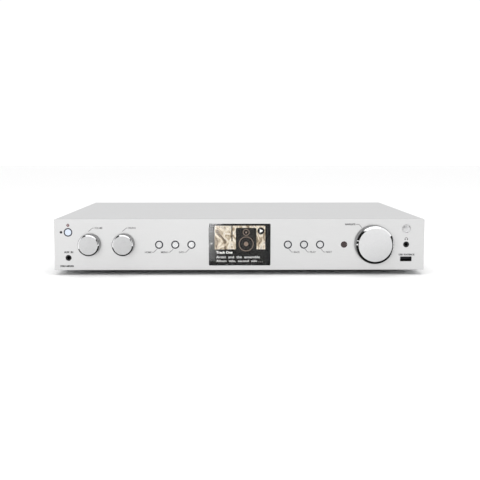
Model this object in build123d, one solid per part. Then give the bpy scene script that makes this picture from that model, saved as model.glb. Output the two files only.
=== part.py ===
"""Integrated network amplifier: a flat, full-width hi-fi unit with an aluminium front panel.

Frame: +X to the right seen from the front, +Y towards the rear, +Z up, millimetres.
The origin is on the surface that the feet stand on, at the middle of the overall width and depth.
"Depth" below is the distance behind the front panel's face, so a negative depth is in front of it.
"""

from build123d import *
import math
import os

# ---------------------------------------------------------------- driving dimensions
WIDTH = 431.4  # front panel, the full hi-fi width
PANEL_HEIGHT = 59.8
FOOT_GAP = 5.7  # floor to the panel's lower edge
BODY_DEPTH = 300.0  # panel face to the cover's rear lip
KNOB_REACH = 15.0  # knobs stand this far in front of the panel
REAR_REACH = 9.5  # the longest socket stands this far behind the body

PANEL_THICK = 8.0
PANEL_CORNER = 1.3  # seen from the front
PANEL_EDGE = 1.1  # rounding of the edge all round the face
SHEET = 1.2  # chassis steel
COVER_SHEET = 1.0
COVER_STEP = 0.2  # the cover is this much inside the panel's outline
BOARD_THICK = 1.6
TOUCH_GAP = 0.1  # parts that only lie beside each other
SLIDE_GAP = 0.15  # radial room around a sliding button
BUTTON_TRAVEL = 0.6
PUSH_TRAVEL = 0.7  # the navigation knob pushes in this far

# places on the panel: x from its middle, z above the floor
ROW_Z = FOOT_GAP + PANEL_HEIGHT / 2  # buttons, display and headphone jack share the middle row
KNOB_Z = ROW_Z + 0.8
BUTTON_FIRST_X = 56.2
BUTTON_PITCH = 18.8
LEFT_COLUMN_X = -199.3
RIGHT_COLUMN_X = 194.5
STANDBY_Z = 50.2
SENSOR_X, SENSOR_Z = -207.4, 50.3
AUX_Z = 20.3
SPEAKER_BUTTON_Z = 54.2
USB_Z = 18.6
IR_X = 121.8

# ---------------------------------------------------------------- derived levels
OVERALL_DEPTH = KNOB_REACH + BODY_DEPTH + REAR_REACH
FACE_Y = -OVERALL_DEPTH / 2 + KNOB_REACH
PANEL_TOP = FOOT_GAP + PANEL_HEIGHT
TRAY_LOW = FOOT_GAP + 0.3
TRAY_FLOOR = TRAY_LOW + SHEET
COVER_TOP = PANEL_TOP - COVER_STEP
COVER_UNDER = COVER_TOP - COVER_SHEET
COVER_SIDE = WIDTH / 2 - COVER_STEP
TRAY_SIDE = COVER_SIDE - COVER_SHEET
SUBPANEL_BACK = PANEL_THICK + SHEET
CONTROL_FRONT = SUBPANEL_BACK + 6.5  # front face of the control board
CONTROL_BACK = CONTROL_FRONT + BOARD_THICK
LIP_FRONT = BODY_DEPTH - COVER_SHEET
REAR_INSIDE = LIP_FRONT - SHEET
BOARD_LOW = TRAY_FLOOR + 8.0  # main boards stand on pillars
BOARD_TOP = BOARD_LOW + BOARD_THICK

# ---------------------------------------------------------------- parts of the front
KNOBS = {  # name: (x, outside radius, width of the polished bevel)
    "volume": (-173.8, 12.5, 1.4),
    "source": (-134.6, 12.5, 1.4),
    "navigation": (156.0, 22.2, 2.3),
}
KNOB_BACK = 0.5  # the skirt reaches into the panel's recess
KNOB_RECESS = 1.5
KNOB_RECESS_GAP = 0.9
SHAFT_R = 3.0
SHAFT_FLAT = 1.5  # the flat of the D lies this far from the axis
BUSH_R = 3.5
BUSH_FRONT = 2.2
SHAFT_BACK = 12.4

BUTTON_R = 3.45
BUTTON_PROUD = 0.8
BEZEL_R = 4.8
STANDBY_R = 3.6
STANDBY_BEZEL_R = 5.0
SPEAKER_BUTTON_R = 4.7
STEM_BACK = 10.6
TACT_TOP = STEM_BACK + BUTTON_TRAVEL + TOUCH_GAP
JACK_R = 3.5
JACK_BORE_R = 1.85
JACK_FRONT = 1.0
USB_OUT = (13.5, 5.7)
USB_IN = (12.5, 5.1)

WINDOW = (72.0, 49.0)
WINDOW_CORNER = 1.3
ACTIVE = (60.0, 45.0)
LENS_THICK = 2.2

# ---------------------------------------------------------------- parts of the rear and inside
FOOT_X, FOOT_DEPTHS = 175.0, (60.0, 262.0)
FOOT_R = 17.0
INLET_X, INLET_Z = -178.0, 27.0
SWITCH_X = -140.0
TERMINAL_X, TERMINAL_Z = 152.0, 34.0
TERMINAL_PITCH = 12.5
LEVER_PIVOT_DEPTH = 297.0
LEVER_TRAVEL = 25.0  # degrees
ROCKER_TILT = 10.0  # degrees each side of level
ROCKER_DEPTH = 299.0
ANTENNA_X = -62.0
NETWORK_X = -32.0
RCA_X = (8.0, 32.0, 56.0)
RCA_Z = (27.0, 43.0)
RCA_COLLAR_R = 5.2
RCA_NECK_R = 3.7
SLEEVE_START = 1.2  # from the rear panel's face
SUPPLY = (-205.0, -95.0, 112.0, 288.0)  # x from, x to, depth from, depth to
MAIN = (-80.0, 72.0, 150.0, 290.0)
AMP = (88.0, 205.0, 112.0, 288.0)


def y_at(depth):
    return FACE_Y + depth


def rod(x, z, near, far, radius):
    """A cylinder along Y, from depth near to depth far."""
    return Pos(x, y_at((near + far) / 2), z) * Rot(90, 0, 0) * Cylinder(radius, far - near)


def post(x, depth, low, high, radius):
    """A cylinder along Z."""
    return Pos(x, y_at(depth), (low + high) / 2) * Cylinder(radius, high - low)


def block(x0, x1, near, far, low, high):
    centre = Pos((x0 + x1) / 2, y_at((near + far) / 2), (low + high) / 2)
    return centre * Box(x1 - x0, far - near, high - low)


def slab(outline, near, far):
    """An outline drawn as seen from the front (X right, Z up), given thickness from near to far."""
    plane = Plane(origin=(0, y_at(far), 0), x_dir=(1, 0, 0), z_dir=(0, -1, 0))
    return extrude(plane * outline, amount=far - near)


def side_profile(points, x0, x1):
    """A closed outline of (depth, z) points, drawn from the side and given a width along X."""
    corners = [(0, y_at(depth), z) for depth, z in points]
    face = make_face(Polyline(*corners, close=True))
    return Pos(x0, 0, 0) * extrude(face, amount=x1 - x0, dir=(1, 0, 0))


def fuse(first, *others):
    whole = first
    for other in others:
        whole = whole + other
    return whole


def cut(body, *tools):
    for tool in tools:
        body = body - tool
    return body


def pan_screw(x, z, head_near, head_height, length, towards=1):
    """An M3 screw along Y: towards=1 drives it to greater depth, -1 from the rear to the front."""
    if towards > 0:
        head = rod(x, z, head_near, head_near + head_height, 2.8)
        shank = rod(x, z, head_near + head_height, head_near + head_height + length, 1.5)
    else:
        head = rod(x, z, head_near - head_height, head_near, 2.8)
        shank = rod(x, z, head_near - head_height - length, head_near - head_height, 1.5)
    return head + shank


# ---------------------------------------------------------------- front panel and its openings
def button_xs():
    right = [BUTTON_FIRST_X + BUTTON_PITCH * i for i in range(3)]
    return [-x for x in reversed(right)] + right


def front_panel():
    outline = RectangleRounded(WIDTH, PANEL_HEIGHT, PANEL_CORNER)
    panel = slab(Pos(0, ROW_Z) * outline, 0, PANEL_THICK)
    panel = fillet(panel.faces().sort_by(Axis.Y)[0].edges(), PANEL_EDGE)
    window = slab(Pos(0, ROW_Z) * RectangleRounded(*WINDOW, WINDOW_CORNER), -1, PANEL_THICK + 1)
    usb = slab(Pos(RIGHT_COLUMN_X, USB_Z) * RectangleRounded(*USB_OUT, 0.6), -1, PANEL_THICK + 1)
    panel = cut(panel, window, usb)
    for x, radius, _ in KNOBS.values():
        panel = cut(
            panel,
            rod(x, KNOB_Z, -1, KNOB_RECESS, radius + KNOB_RECESS_GAP),
            rod(x, KNOB_Z, 0, PANEL_THICK + 1, BUSH_R + 0.5),
            rod(x, KNOB_Z, 5.0, PANEL_THICK + 1, 7.0),
        )
    holes = [(x, ROW_Z, BEZEL_R) for x in button_xs()]
    holes += [
        (LEFT_COLUMN_X, STANDBY_Z, STANDBY_BEZEL_R),
        (SENSOR_X, SENSOR_Z, 0.95),
        (LEFT_COLUMN_X, AUX_Z, JACK_R),
        (RIGHT_COLUMN_X, ROW_Z, JACK_R),
        (RIGHT_COLUMN_X, SPEAKER_BUTTON_Z, SPEAKER_BUTTON_R + SLIDE_GAP),
        (IR_X, ROW_Z, 3.8),
    ]
    for x, z, radius in holes:
        panel = panel - rod(x, z, -1, PANEL_THICK + 1, radius)
    return cut(panel, *panel_screw_list())


def panel_screw_list():
    """Screws from inside that hold the aluminium panel to the chassis's front wall."""
    places = [(x, z) for x in (-210.0, -112.0, 112.0, 209.0) for z in (11.0, PANEL_TOP - 5.5)]
    return [pan_screw(x, z, SUBPANEL_BACK + 1.6, 1.6, 5.2, towards=-1) for x, z in places]


# ---------------------------------------------------------------- casing
def side_screw_list():
    """Flat-headed screws through the cover's sides into the tray's side walls."""
    made = []
    for side in (-1, 1):
        for depth in (60.0, 240.0):
            spot = Pos(side * (WIDTH / 2 - 0.4), y_at(depth), 14.0) * Rot(0, 90, 0)
            head = spot * Cylinder(3.4, 0.8)
            shank = Pos(side * (COVER_SIDE - 3.0), y_at(depth), 14.0) * Rot(0, 90, 0) * Cylinder(1.5, 6.0)
            made.append(head + shank)
    return made


def rear_screw_list():
    return [pan_screw(x, 59.0, BODY_DEPTH + 1.6, 1.6, 5.0, towards=-1) for x in (-190.0, 0.0, 190.0)]


def vent_slots(count, pitch, length, width):
    """A row of round-ended slots spaced along local X, as sketches to cut with."""
    middle = (count - 1) / 2
    return [Pos((i - middle) * pitch, 0) * SlotOverall(length, width, rotation=90) for i in range(count)]


def top_cover():
    shell = block(-COVER_SIDE, COVER_SIDE, PANEL_THICK + 0.2, BODY_DEPTH, TRAY_LOW + 0.4, COVER_TOP)
    folds = [e for e in shell.edges().filter_by(Axis.Y) if e.center().Z > ROW_Z]
    shell = fillet(folds, COVER_SHEET)
    inside = block(-TRAY_SIDE, TRAY_SIDE, PANEL_THICK - 1, LIP_FRONT, 0, COVER_UNDER)
    folds = [e for e in inside.edges().filter_by(Axis.Y) if e.center().Z > ROW_Z]
    inside = fillet(folds, 0.2)
    doorway = block(-TRAY_SIDE, TRAY_SIDE, LIP_FRONT - 1, BODY_DEPTH + 1, 0, 55.0)
    shell = cut(shell, inside, doorway)
    side_plane = Plane(origin=(-WIDTH, y_at(150.0), 42.0), x_dir=(0, 1, 0), z_dir=(1, 0, 0))
    for slot in vent_slots(15, 9.0, 20.0, 3.0):
        shell = shell - extrude(side_plane * slot, amount=2 * WIDTH)
    return cut(shell, *side_screw_list(), *rear_screw_list())


def foot_places():
    return [(side * FOOT_X, depth) for side in (-1, 1) for depth in FOOT_DEPTHS]


def foot_screw(x, depth):
    head = post(x, depth, 1.8, 3.4, 3.6)
    return head + post(x, depth, 3.4, TRAY_FLOOR + 3.0, 2.0)


def foot(x, depth):
    body = post(x, depth, 0.8, TRAY_LOW, FOOT_R)
    body = fillet(body.edges().filter_by(GeomType.CIRCLE).sort_by(Axis.Z)[0], 1.2)
    seat = post(x, depth, 0, 1.4, 15.0) - post(x, depth, 0, 1.4, 8.0)
    well = post(x, depth, 0, 3.4, 5.5)
    return cut(body, seat, well, foot_screw(x, depth))


def foot_pad(x, depth):
    return post(x, depth, 0, 1.4, 15.0) - post(x, depth, 0, 1.4, 8.0)


def bezel_plates():
    """The rectangles that the bezel mouldings fill in the chassis's front wall: (x0, x1, z0, z1)."""
    first, last = BUTTON_FIRST_X - 8, BUTTON_FIRST_X + 2 * BUTTON_PITCH + 8
    rows = [(-last, -first, ROW_Z - 7, ROW_Z + 7), (first, last, ROW_Z - 7, ROW_Z + 7)]
    standby = (LEFT_COLUMN_X - 6.5, LEFT_COLUMN_X + 6.5, STANDBY_Z - 6.5, STANDBY_Z + 6.5)
    return rows + [standby]


def corner_reliefs(near, far):
    """Small square notches that clear the inside of the cover's folds."""
    low, high = COVER_UNDER - 1.0, COVER_UNDER + 1
    left = block(-TRAY_SIDE - 1, -TRAY_SIDE + 1.0, near, far, low, high)
    return [left, block(TRAY_SIDE - 1.0, TRAY_SIDE + 1, near, far, low, high)]


def chassis_tray():
    tray = fuse(
        block(-TRAY_SIDE, TRAY_SIDE, PANEL_THICK, REAR_INSIDE, TRAY_LOW, TRAY_FLOOR),
        block(-TRAY_SIDE, TRAY_SIDE, PANEL_THICK, SUBPANEL_BACK, TRAY_LOW, COVER_UNDER - TOUCH_GAP),
        block(-TRAY_SIDE, -TRAY_SIDE + SHEET, PANEL_THICK, REAR_INSIDE, TRAY_LOW, 22.0),
        block(TRAY_SIDE - SHEET, TRAY_SIDE, PANEL_THICK, REAR_INSIDE, TRAY_LOW, 22.0),
    )
    windows = [block(x0, x1, 5, 12, z0, z1) for x0, x1, z0, z1 in bezel_plates()]
    windows.append(slab(Pos(0, ROW_Z) * RectangleRounded(82, 54, 1.5), 5, 12))
    windows.append(block(RIGHT_COLUMN_X - 10, RIGHT_COLUMN_X + 10, 5, 12, USB_Z - 7, SPEAKER_BUTTON_Z + 7))
    round_holes = [(x, KNOB_Z, BUSH_R) for x, _, _ in KNOBS.values()]
    round_holes += [
        (LEFT_COLUMN_X, AUX_Z, JACK_R),
        (SENSOR_X, SENSOR_Z, 0.95),
        (IR_X, ROW_Z, 3.8),
    ]
    windows += [rod(x, z, 5, 12, radius) for x, z, radius in round_holes]
    tray = cut(tray, *windows)
    for centre_x in (-150.0, 146.0):
        floor_plane = Plane(origin=(centre_x, y_at(200.0), 0), x_dir=(1, 0, 0), z_dir=(0, 0, 1))
        for slot in vent_slots(9, 9.0, 60.0, 3.0):
            tray = tray - extrude(floor_plane * slot, amount=TRAY_FLOOR + 1)
    fasteners = [foot_screw(x, d) for x, d in foot_places()] + side_screw_list() + panel_screw_list()
    return cut(tray, *fasteners, *board_screw_list(), *corner_reliefs(5, 12))


# ---------------------------------------------------------------- rear panel and its openings
def rear_cutouts():
    near, far = REAR_INSIDE - 1, LIP_FRONT + 1
    shapes = [
        slab(Pos(INLET_X, INLET_Z) * Rectangle(24, 15), near, far),
        slab(Pos(SWITCH_X, INLET_Z) * Rectangle(19.4, 13), near, far),
        slab(Pos(TERMINAL_X, TERMINAL_Z) * Rectangle(52, 25), near, far),
        slab(Pos(NETWORK_X, (BOARD_TOP + 31.6) / 2) * Rectangle(16, 31.6 - BOARD_TOP), near, far),
        rod(ANTENNA_X, 34.0, near, far, 5.5),
    ]
    shapes += [rod(x, z, near, far, RCA_COLLAR_R + TOUCH_GAP) for x in RCA_X for z in RCA_Z]
    return shapes


def rear_panel():
    edge = TRAY_SIDE - TOUCH_GAP
    panel = block(-edge, edge, REAR_INSIDE, LIP_FRONT, TRAY_LOW + 0.4, COVER_UNDER - TOUCH_GAP)
    panel = cut(panel, *rear_cutouts(), *rear_screw_list(), *corner_reliefs(REAR_INSIDE - 1, BODY_DEPTH))
    vent_plane = Plane(origin=(100.0, y_at(LIP_FRONT + 5), 50.0), x_dir=(1, 0, 0), z_dir=(0, -1, 0))
    for slot in vent_slots(7, 5.0, 10.0, 2.2):
        panel = panel - extrude(vent_plane * slot, amount=10)
    return panel


def mains_inlet():
    """Two-pole figure-eight inlet: flange outside, body through the panel, two round pins."""
    flange = slab(Pos(INLET_X, INLET_Z) * RectangleRounded(29, 19, 2), LIP_FRONT, LIP_FRONT + 2.2)
    body = slab(Pos(INLET_X, INLET_Z) * Rectangle(24, 15), LIP_FRONT - 16, LIP_FRONT)
    recess = slab(Pos(INLET_X, INLET_Z) * SlotOverall(17.0, 9.0), LIP_FRONT - 13, LIP_FRONT + 3)
    housing = (flange + body) - recess
    pins = [rod(INLET_X + s * 4.3, INLET_Z, LIP_FRONT - 20, LIP_FRONT - 2, 1.2) for s in (-1, 1)]
    return [cut(housing, *pins), *pins]


def rocker_pocket():
    return slab(Pos(SWITCH_X, INLET_Z) * Rectangle(18.2, 11.6), ROCKER_DEPTH - 6.5, LIP_FRONT + 4)


def mains_switch_housing():
    bezel = slab(Pos(SWITCH_X, INLET_Z) * RectangleRounded(22, 15, 1.5), LIP_FRONT, LIP_FRONT + 2)
    body = slab(Pos(SWITCH_X, INLET_Z) * Rectangle(19.4, 13), LIP_FRONT - 15, LIP_FRONT)
    places = [(SWITCH_X + s * 5, INLET_Z + t * 3.5) for s in (-1, 1) for t in (-1, 1)]
    pins = [rod(x, z, LIP_FRONT - 21, LIP_FRONT - 15, 1.0) for x, z in places]
    pivot = Pos(SWITCH_X, y_at(ROCKER_DEPTH), INLET_Z) * Cylinder(1.0, 11.6)
    return fuse((bezel + body) - rocker_pocket(), pivot, *pins)


def mains_rocker():
    """Rocker cap on its pivot, resting with one side pressed in."""
    corners = [(-8, -1), (-8, 5.0), (0, 3.6), (8, 5.0), (8, -1), (3.2, -4), (-3.2, -4)]
    face = make_face(Polyline(*corners, close=True))
    cap = Pos(0, 0, -5.5) * extrude(face, amount=11.0)
    cap = cap - Cylinder(1.0 + 0.05, 12)
    cap = cap - Pos(0, -3, 0) * Box(2.1, 6, 12)
    return Pos(SWITCH_X, y_at(ROCKER_DEPTH), INLET_Z) * Rot(0, 0, ROCKER_TILT) * cap


def lever_xs():
    return [TERMINAL_X + (i - 1.5) * TERMINAL_PITCH for i in range(4)]


def terminal_block():
    """Spring-clip speaker terminals: a housing with four lever pockets over four wire entries."""
    flange = slab(Pos(TERMINAL_X, TERMINAL_Z) * RectangleRounded(60, 30, 2), LIP_FRONT, LIP_FRONT + 2)
    body = slab(Pos(TERMINAL_X, TERMINAL_Z) * Rectangle(52, 25), LIP_FRONT - 15, LIP_FRONT)
    housing = flange + body
    for x in lever_xs():
        pocket = block(x - 4.9, x + 4.9, LIP_FRONT - 12, LIP_FRONT + 3, TERMINAL_Z - 2.4, TERMINAL_Z + 11.8)
        entry = block(x - 1.8, x + 1.8, LIP_FRONT - 12, LIP_FRONT + 3, TERMINAL_Z - 8.6, TERMINAL_Z - 4.8)
        pin = Pos(x, y_at(LEVER_PIVOT_DEPTH), TERMINAL_Z) * Rot(0, 90, 0) * Cylinder(0.9, 9.8)
        housing = (housing - pocket - entry) + pin
        housing = housing + post(x, LIP_FRONT - 13.5, BOARD_TOP, TERMINAL_Z - 12.5, 0.7)
    return housing


def terminal_lever(x):
    """A lever on its pin: the upper end is pushed in to open the wire entry below it."""
    d, z = LEVER_PIVOT_DEPTH, TERMINAL_Z
    outline = [
        (d - 1.2, z - 1.5),
        (d + 2.2, z - 1.5),
        (d + 2.2, z + 5.4),
        (d + 6.2, z + 7.4),
        (d + 6.2, z + 9.4),
        (d - 0.6, z + 9.4),
        (d - 1.2, z + 8.4),
    ]
    lever = side_profile(outline, x - 4.4, x + 4.4)
    hole = Pos(x, y_at(d), z) * Rot(0, 90, 0) * Cylinder(0.95, 10)
    notch = block(x - 5, x + 5, d - 4, d, z - 0.95, z + 0.95)
    return cut(lever, hole, notch)


def rca_housing(x):
    low, high = BOARD_TOP, RCA_Z[1] + 7
    body = block(x - 7, x + 7, REAR_INSIDE - 11, REAR_INSIDE, low, high)
    for z in RCA_Z:
        body = body + rod(x, z, REAR_INSIDE, LIP_FRONT + 0.6, RCA_COLLAR_R)
        body = body - rod(x, z, REAR_INSIDE - 6, LIP_FRONT + 1, RCA_NECK_R)
    return body


def rca_sleeve(x, z):
    """Outer contact of one phono socket on its narrower neck, with the insulated centre hole."""
    sleeve = rod(x, z, LIP_FRONT + SLEEVE_START, LIP_FRONT + REAR_REACH, 4.15)
    sleeve = chamfer(sleeve.edges().filter_by(GeomType.CIRCLE).sort_by(Axis.Y)[-1], 0.5)
    neck = rod(x, z, REAR_INSIDE - 6, LIP_FRONT + SLEEVE_START, RCA_NECK_R)
    return (sleeve + neck) - rod(x, z, LIP_FRONT - 4, LIP_FRONT + 10, 1.65)


def antenna_socket():
    """Threaded coaxial aerial socket with its hexagon nut."""
    thread = rod(ANTENNA_X, 34.0, LIP_FRONT + 2.9, LIP_FRONT + 10.5, 4.7)
    root = rod(ANTENNA_X, 34.0, REAR_INSIDE - 6, LIP_FRONT + 2.9, 4.3)
    stud = (thread + root) - rod(ANTENNA_X, 34.0, LIP_FRONT, LIP_FRONT + 11, 1.2)
    shoulder = rod(ANTENNA_X, 34.0, REAR_INSIDE - 4, REAR_INSIDE, 7.0)
    nut = slab(Pos(ANTENNA_X, 34.0) * RegularPolygon(6.4, 6), LIP_FRONT, LIP_FRONT + 2.4)
    nut = nut - rod(ANTENNA_X, 34.0, LIP_FRONT - 1, LIP_FRONT + 3, 4.3)
    return [stud + shoulder, nut]


def network_socket():
    shell = block(NETWORK_X - 8, NETWORK_X + 8, LIP_FRONT - 21, LIP_FRONT + 0.4, BOARD_TOP, 31.6)
    bay = block(NETWORK_X - 5.9, NETWORK_X + 5.9, LIP_FRONT - 14, LIP_FRONT + 1, 20.2, 28.4)
    latch = block(NETWORK_X - 3.1, NETWORK_X + 3.1, LIP_FRONT - 11, LIP_FRONT + 1, 18.4, 20.2)
    return shell - bay - latch


# ---------------------------------------------------------------- display
def display_lens():
    return slab(Pos(0, ROW_Z) * RectangleRounded(*WINDOW, WINDOW_CORNER), 0, LENS_THICK)


def display_frame():
    """Black moulding behind the lens: it masks the panel's edge and holds the screen."""
    ring = slab(Pos(0, ROW_Z) * RectangleRounded(*WINDOW, WINDOW_CORNER), LENS_THICK, PANEL_THICK)
    flange = slab(Pos(0, ROW_Z) * RectangleRounded(82, 54, 1.5), PANEL_THICK, SUBPANEL_BACK)
    opening = slab(Pos(0, ROW_Z) * Rectangle(*ACTIVE), LENS_THICK - 1, 12)
    pocket = slab(Pos(0, ROW_Z) * Rectangle(67, 47), LENS_THICK + 0.7, 12)
    return (ring + flange) - opening - pocket


def display_module():
    """Screen glass on its backlight tray, filling the frame's pocket."""
    near = LENS_THICK + 0.7
    glass = slab(Pos(0, ROW_Z) * Rectangle(66.6, 46.6), near, near + 1.4)
    tray = slab(Pos(0, ROW_Z) * Rectangle(66.6, 46.6), near + 1.4, near + 4.6)
    return [glass, tray]


# ---------------------------------------------------------------- buttons
def push_button(x, z, radius, shoulder_front=SUBPANEL_BACK, shoulder_r=None, proud=BUTTON_PROUD):
    """Cap, shoulder that stops it falling out, and stem down to its switch."""
    shoulder_r = shoulder_r or radius + 1.0
    cap = rod(x, z, -proud, shoulder_front, radius)
    cap = fillet(cap.edges().filter_by(GeomType.CIRCLE).sort_by(Axis.Y)[0], 0.45)
    shoulder = rod(x, z, shoulder_front, shoulder_front + 0.8, shoulder_r)
    return fuse(cap, shoulder, rod(x, z, shoulder_front + 0.8, STEM_BACK, 1.8))


def button_bezels():
    """Dark collars around the caps: two mouldings of three, and one for the standby button."""
    made = []
    for x0, x1, z0, z1 in bezel_plates():
        made.append(block(x0, x1, PANEL_THICK, SUBPANEL_BACK, z0, z1))
    left, right, standby = made
    for x in button_xs():
        collar = rod(x, ROW_Z, 0, PANEL_THICK, BEZEL_R)
        bore = rod(x, ROW_Z, -1, SUBPANEL_BACK + 1, BUTTON_R + SLIDE_GAP)
        if x < 0:
            left = left + collar - bore
        else:
            right = right + collar - bore
    collar = rod(LEFT_COLUMN_X, STANDBY_Z, 0, PANEL_THICK, STANDBY_BEZEL_R)
    bore = rod(LEFT_COLUMN_X, STANDBY_Z, -1, SUBPANEL_BACK + 1, STANDBY_R + SLIDE_GAP)
    return [left, right, standby + collar - bore]


def speaker_button():
    """Plain silver button with a shallow domed cap, straight in the panel."""
    x, z = RIGHT_COLUMN_X, SPEAKER_BUTTON_Z
    cap = rod(x, z, -0.3, PANEL_THICK + TOUCH_GAP, SPEAKER_BUTTON_R)
    sphere_r = 24.0
    dome_height = sphere_r - math.sqrt(sphere_r**2 - SPEAKER_BUTTON_R**2)
    ball = Pos(x, y_at(-0.3 - dome_height + sphere_r), z) * Sphere(sphere_r)
    dome = ball & rod(x, z, -0.3 - dome_height, 0, SPEAKER_BUTTON_R)
    shoulder = rod(x, z, PANEL_THICK + TOUCH_GAP, SUBPANEL_BACK, 5.8)
    return fuse(cap, dome, shoulder, rod(x, z, SUBPANEL_BACK, STEM_BACK, 1.8))


# ---------------------------------------------------------------- knobs and encoders
def d_shaft(x, near, far):
    """Round shaft with a flat on top, over the length that the knob grips."""
    shaft = rod(x, KNOB_Z, near, far, SHAFT_R)
    flat = block(x - 4, x + 4, near - 1, 0.0, KNOB_Z + SHAFT_FLAT, KNOB_Z + SHAFT_R + 1)
    return shaft - flat


def knob(x, radius, bevel):
    """Turned aluminium knob: dished face, polished bevel, hollow skirt and a hub on the shaft."""
    front, cap, wall = -KNOB_REACH, 3.0, 1.8
    face_r, dish = radius - bevel, 0.35
    hub = SHAFT_R + 2.6
    outline = Polyline(
        (face_r, y_at(front)),
        (radius, y_at(front + bevel * 0.75)),
        (radius, y_at(KNOB_BACK)),
        (radius - wall, y_at(KNOB_BACK)),
        (radius - wall, y_at(front + cap)),
        (hub, y_at(front + cap)),
        (hub, y_at(KNOB_BACK)),
        (0, y_at(KNOB_BACK)),
        (0, y_at(front + dish)),
    )
    dish_arc = ThreePointArc(
        (0, y_at(front + dish)),
        (face_r / 2, y_at(front + dish * 0.75)),
        (face_r, y_at(front)),
    )
    profile = make_face(outline + dish_arc)
    body = revolve(profile, Axis((0, 0, 0), (0, 1, 0)))
    return (Pos(x, 0, KNOB_Z) * body) - d_shaft(x, -KNOB_REACH + 3.5, 1.0)


def encoder_body(x, pushes):
    """Rotary encoder: square case behind the chassis's front wall and a threaded bush through it."""
    case = block(x - 6, x + 6, SUBPANEL_BACK, CONTROL_FRONT, KNOB_Z - 6.5, KNOB_Z + 6.5)
    bush = rod(x, KNOB_Z, BUSH_FRONT, SUBPANEL_BACK, BUSH_R)
    # the shaft's inner end reaches SHAFT_BACK; a pushing knob also needs its travel there
    bore_end = SHAFT_BACK + (PUSH_TRAVEL + TOUCH_GAP if pushes else TOUCH_GAP)
    body = cut(case + bush, rod(x, KNOB_Z, BUSH_FRONT - 1, bore_end, SHAFT_R + 0.05))
    if pushes:
        body = body - rod(x, KNOB_Z, SHAFT_BACK, CONTROL_FRONT - 0.4, 2.2)
    return body


def navigation_plunger():
    """Switch plunger behind the navigation shaft: it slides in and out but doesn't turn."""
    x = KNOBS["navigation"][0]
    return rod(x, KNOB_Z, SHAFT_BACK, CONTROL_FRONT - 0.4 - PUSH_TRAVEL - TOUCH_GAP, 2.0)


def encoder_nut(x):
    nut = slab(Pos(x, KNOB_Z) * RegularPolygon(6.2, 6), PANEL_THICK - 2.2, PANEL_THICK)
    return nut - rod(x, KNOB_Z, 0, 12, BUSH_R)


# ---------------------------------------------------------------- sockets of the front
def phone_jack(x, z):
    nose = rod(x, z, JACK_FRONT, SUBPANEL_BACK, JACK_R)
    case = block(x - 5, x + 5, SUBPANEL_BACK, CONTROL_FRONT, z - 5, z + 5)
    return (nose + case) - rod(x, z, 0, CONTROL_FRONT - 0.5, JACK_BORE_R)


def usb_socket():
    """Steel shell round a plastic body that carries the contact tongue."""
    x, back = RIGHT_COLUMN_X, CONTROL_FRONT
    shell = slab(Pos(x, USB_Z) * RectangleRounded(*USB_OUT, 0.6), 0.5, back)
    shell = shell - slab(Pos(x, USB_Z) * RectangleRounded(*USB_IN, 0.4), 0, back + 1)
    inner = [size - 2 * TOUCH_GAP for size in USB_IN]
    body = slab(Pos(x, USB_Z) * RectangleRounded(*inner, 0.4), back - 2.5, back)
    tongue = block(x - 5.5, x + 5.5, 3.5, back - 2, USB_Z - 0.2, USB_Z + 1.6)
    return [shell, body + tongue]


def ir_window():
    return rod(IR_X, ROW_Z, 0, 3.0, 3.8)


# ---------------------------------------------------------------- control board
def control_board():
    board = block(-209, 209, CONTROL_FRONT, CONTROL_BACK, 10.0, 61.5)
    slot = block(-14, 14, CONTROL_FRONT - 1, CONTROL_BACK + 1, 10.0, 14.0)
    return cut(board, slot, *control_screw_list())


def control_places():
    return [(x, z) for x in (-120.0, -47.5, 47.5, 120.0) for z in (14.5, 57.0)]


def control_screw_list():
    return [pan_screw(x, z, CONTROL_BACK + 1.6, 1.6, 5.0, towards=-1) for x, z in control_places()]


def control_pillar(x, z):
    pillar = rod(x, z, SUBPANEL_BACK, CONTROL_FRONT, 3.0)
    return cut(pillar, *control_screw_list())


def tact_switch(x, z):
    case = block(x - 3, x + 3, TACT_TOP + 0.9, CONTROL_FRONT, z - 3, z + 3)
    return case + rod(x, z, TACT_TOP, TACT_TOP + 0.9, 1.7)


def control_components():
    """Tact switches, infrared receiver, light sensor and standby lamp on the control board."""
    parts = [tact_switch(x, ROW_Z) for x in button_xs()]
    parts.append(tact_switch(LEFT_COLUMN_X, STANDBY_Z))
    parts.append(tact_switch(RIGHT_COLUMN_X, SPEAKER_BUTTON_Z))
    parts.append(block(IR_X - 3, IR_X + 3, 11.5, CONTROL_FRONT, ROW_Z - 3.5, ROW_Z + 3.5))
    parts.append(block(SENSOR_X - 1.4, SENSOR_X + 1.4, 13.5, CONTROL_FRONT, SENSOR_Z - 1.4, SENSOR_Z + 1.4))
    return parts


# ---------------------------------------------------------------- boards inside
def board_corners(area, inset=5.0):
    x0, x1, near, far = area
    return [(x, d) for x in (x0 + inset, x1 - inset) for d in (near + inset, far - inset)]


def pillar_places():
    return [place for area in (SUPPLY, MAIN, AMP) for place in board_corners(area)]


def board_screw_list():
    made = []
    for x, depth in pillar_places():
        head = post(x, depth, BOARD_TOP, BOARD_TOP + 1.6, 2.8)
        made.append(head + post(x, depth, BOARD_TOP - 5.0, BOARD_TOP, 1.5))
    return made


def circuit_board(area):
    x0, x1, near, far = area
    board = block(x0, x1, near, far, BOARD_LOW, BOARD_TOP)
    return cut(board, *board_screw_list())


def board_pillars():
    stands = [post(x, d, TRAY_FLOOR, BOARD_LOW, 3.0) for x, d in pillar_places()]
    stands = [cut(stand, *board_screw_list()) for stand in stands]
    return stands + [control_pillar(x, z) for x, z in control_places()]


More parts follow.
